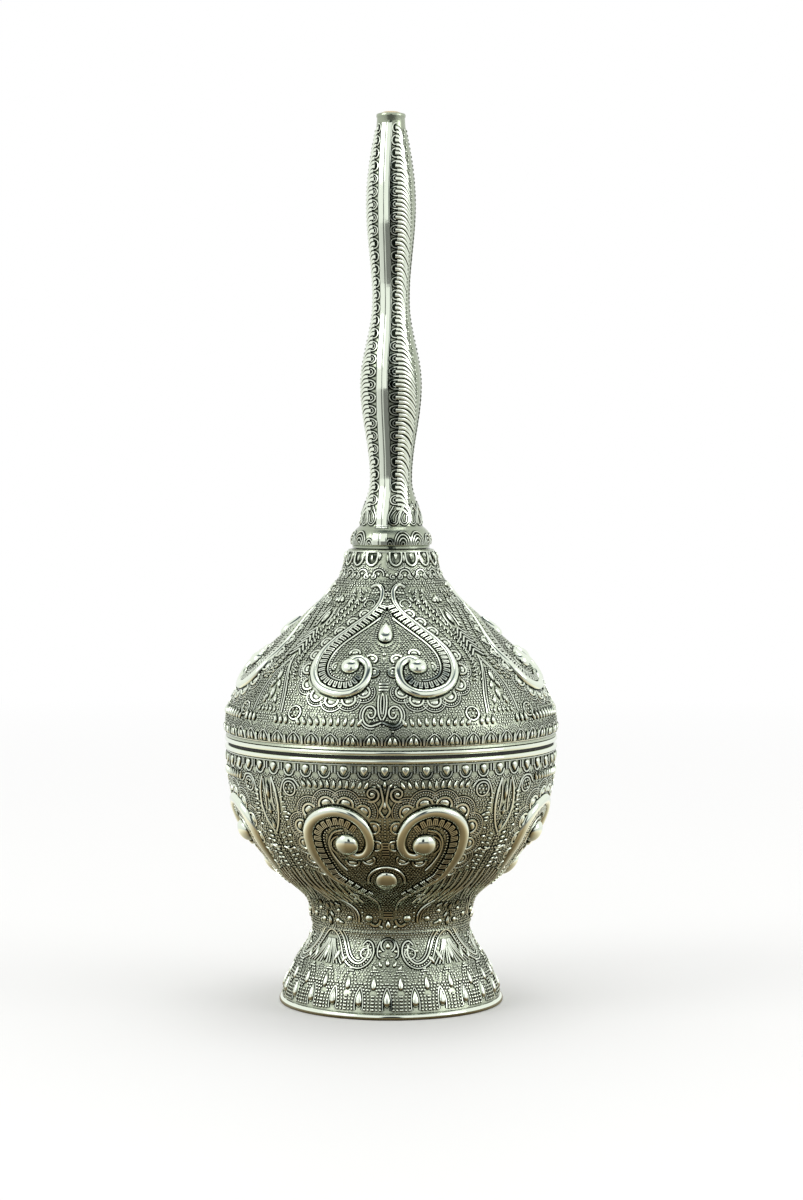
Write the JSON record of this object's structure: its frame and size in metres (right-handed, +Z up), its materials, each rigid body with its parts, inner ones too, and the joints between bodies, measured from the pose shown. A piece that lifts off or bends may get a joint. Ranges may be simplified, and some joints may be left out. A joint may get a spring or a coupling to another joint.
{
  "type": "rosewater sprinkler",
  "caption": "Cast metal rosewater sprinkler with a flared foot, a round two-part flask and a tall slender neck that unscrews for filling.",
  "frame": {"origin": "middle of the foot's underside, on the surface that the sprinkler stands on", "axes": "+Z up along the neck, -Y towards the front"},
  "size_m": [0.0848, 0.0848, 0.2241],
  "materials": {
    "cast_silver": "antiqued silver plate over cast zinc alloy",
    "polished_silver": "bright polished silver plate",
    "brass": "turned brass",
    "steel": "zinc plated",
    "seal": "matt"
  },
  "bodies": {
    "base": {"foot": "cast_silver", "foot_screw": "steel", "foot_washer": "steel", "bowl": "cast_silver", "bowl_rim": "polished_silver"},
    "gasket": {"rim_gasket": "seal"},
    "upper": {"dome": "cast_silver", "dome_rim": "polished_silver", "collar": "cast_silver"},
    "seal": {"neck_washer": "seal"},
    "neck": {"neck_left": "cast_silver", "neck_right": "cast_silver", "neck_nipple": "brass", "tip_rose": "brass"}
  },
  "joints": [
    {"name": "upper_lift", "type": "slide", "parent": "base", "child": "gasket", "axis": [0, 0, 1], "range_m": [0, 0.0052]},
    {"name": "upper_turn", "type": "hinge", "parent": "gasket", "child": "upper", "pos_m": [0, 0, 0.06605], "axis": [0, 0, 1], "range_deg": [0, 720]},
    {"name": "neck_lift", "type": "slide", "parent": "upper", "child": "seal", "axis": [0, 0, 1], "range_m": [0, 0.0095]},
    {"name": "neck_turn", "type": "hinge", "parent": "seal", "child": "neck", "pos_m": [0, 0, 0.1152], "axis": [0, 0, 1], "range_deg": [0, 1368]}
  ],
  "couplings": [
    {"joint": "upper_lift", "follows": "upper_turn", "m_per_rad": 0.0004138},
    {"joint": "neck_lift", "follows": "neck_turn", "m_per_rad": 0.0003978}
  ]
}
